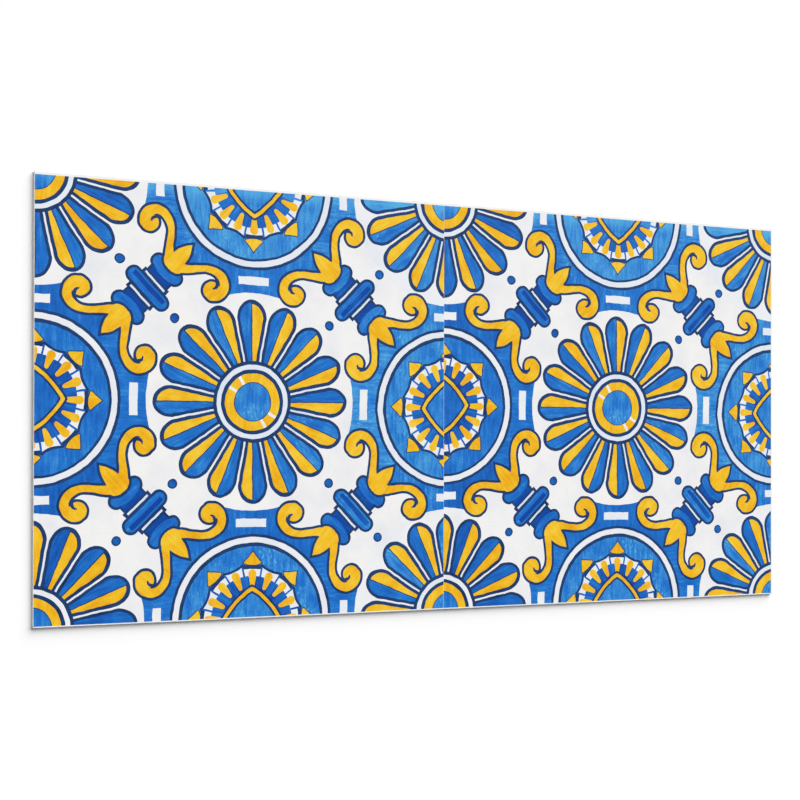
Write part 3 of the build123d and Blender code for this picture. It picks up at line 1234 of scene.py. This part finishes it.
def place_camera(stage):
    """A camera that looks down on the sheet from the left."""
    camera = bpy.data.cameras.new("camera")
    camera.lens = stage.camera_lens
    camera.sensor_fit = "HORIZONTAL"
    camera.sensor_width = FILM_WIDTH
    camera.shift_y = stage.camera_rise
    camera.clip_start = NEAREST
    holder = bpy.data.objects.new("camera", camera)
    holder.location = stage.camera_place
    holder.rotation_euler = stage.camera_turn
    bpy.context.scene.collection.objects.link(holder)
    bpy.context.scene.camera = holder


# Operators and panel


class WALLPANEL_OT_mix_inks(bpy.types.Operator):
    """Make the materials of the print and the sheet"""

    bl_idname = "wall_panel.mix_inks"
    bl_label = "Mix Inks"

    def execute(self, context):
        mix_inks(context.scene.wall_panel.inks)
        return {"FINISHED"}


class WALLPANEL_OT_draw_fields(bpy.types.Operator):
    """Draw the blue and white fields and the white bars"""

    bl_idname = "wall_panel.draw_fields"
    bl_label = "Draw Fields"

    def execute(self, context):
        draw_group("fields", context.scene.wall_panel)
        return {"FINISHED"}


class WALLPANEL_OT_draw_rosettes(bpy.types.Operator):
    """Draw the ringed rosettes"""

    bl_idname = "wall_panel.draw_rosettes"
    bl_label = "Draw Rosettes"

    def execute(self, context):
        draw_group("rosettes", context.scene.wall_panel)
        return {"FINISHED"}


class WALLPANEL_OT_draw_daisies(bpy.types.Operator):
    """Draw the daisies"""

    bl_idname = "wall_panel.draw_daisies"
    bl_label = "Draw Daisies"

    def execute(self, context):
        draw_group("daisies", context.scene.wall_panel)
        return {"FINISHED"}


class WALLPANEL_OT_draw_balusters(bpy.types.Operator):
    """Draw the balusters with their hearts and scrolls"""

    bl_idname = "wall_panel.draw_balusters"
    bl_label = "Draw Balusters"

    def execute(self, context):
        draw_group("balusters", context.scene.wall_panel)
        return {"FINISHED"}


class WALLPANEL_OT_press_panel(bpy.types.Operator):
    """Press the drawing into the face of the sheet"""

    bl_idname = "wall_panel.press_panel"
    bl_label = "Press Panel"

    def execute(self, context):
        panel = press_panel(context.scene.wall_panel)
        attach(panel, "root")
        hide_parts(SHEET_NODE)
        return {"FINISHED"}


class WALLPANEL_OT_set_stage(bpy.types.Operator):
    """Lay the floor, light it and place the camera"""

    bl_idname = "wall_panel.set_stage"
    bl_label = "Set Stage"

    def execute(self, context):
        stage = context.scene.wall_panel.stage
        lay_floor(stage)
        light_stage(stage)
        place_camera(stage)
        context.scene.view_settings.view_transform = "Standard"
        return {"FINISHED"}


class WALLPANEL_PT_sidebar(bpy.types.Panel):
    """Steps and sizes of the printed panel"""

    bl_idname = "WALLPANEL_PT_sidebar"
    bl_label = "Printed Wall Panel"
    bl_space_type = "VIEW_3D"
    bl_region_type = "UI"
    bl_category = "Wall Panel"

    def draw(self, context):
        settings = context.scene.wall_panel
        for operator in OPERATORS:
            self.layout.operator(operator.bl_idname)
        for name in WallPanelSettings.__annotations__:
            box = self.layout.box()
            box.label(text=name.capitalize())
            group = getattr(settings, name)
            for prop in group.__annotations__:
                box.prop(group, prop)


SETTINGS = (SheetSettings, LatticeSettings, DaisySettings, RosetteSettings, BalusterSettings, InkSettings,
            StageSettings, WallPanelSettings)
OPERATORS = (WALLPANEL_OT_mix_inks, WALLPANEL_OT_draw_fields, WALLPANEL_OT_draw_rosettes,
             WALLPANEL_OT_draw_daisies, WALLPANEL_OT_draw_balusters, WALLPANEL_OT_press_panel,
             WALLPANEL_OT_set_stage)
CLASSES = SETTINGS + OPERATORS + (WALLPANEL_PT_sidebar,)


def register():
    """Adds the classes and the scene's settings."""
    for item in CLASSES:
        bpy.utils.register_class(item)
    bpy.types.Scene.wall_panel = PointerProperty(type=WallPanelSettings)


def unregister():
    """Takes the settings and the classes away again."""
    del bpy.types.Scene.wall_panel
    for item in reversed(CLASSES):
        bpy.utils.unregister_class(item)


def main():
    """Builds the panel step by step."""
    register()
    bpy.ops.wall_panel.mix_inks()
    bpy.ops.wall_panel.draw_fields()
    bpy.ops.wall_panel.draw_rosettes()
    bpy.ops.wall_panel.draw_daisies()
    bpy.ops.wall_panel.draw_balusters()
    bpy.ops.wall_panel.press_panel()
    bpy.ops.wall_panel.set_stage()


if __name__ == "__main__":
    main()
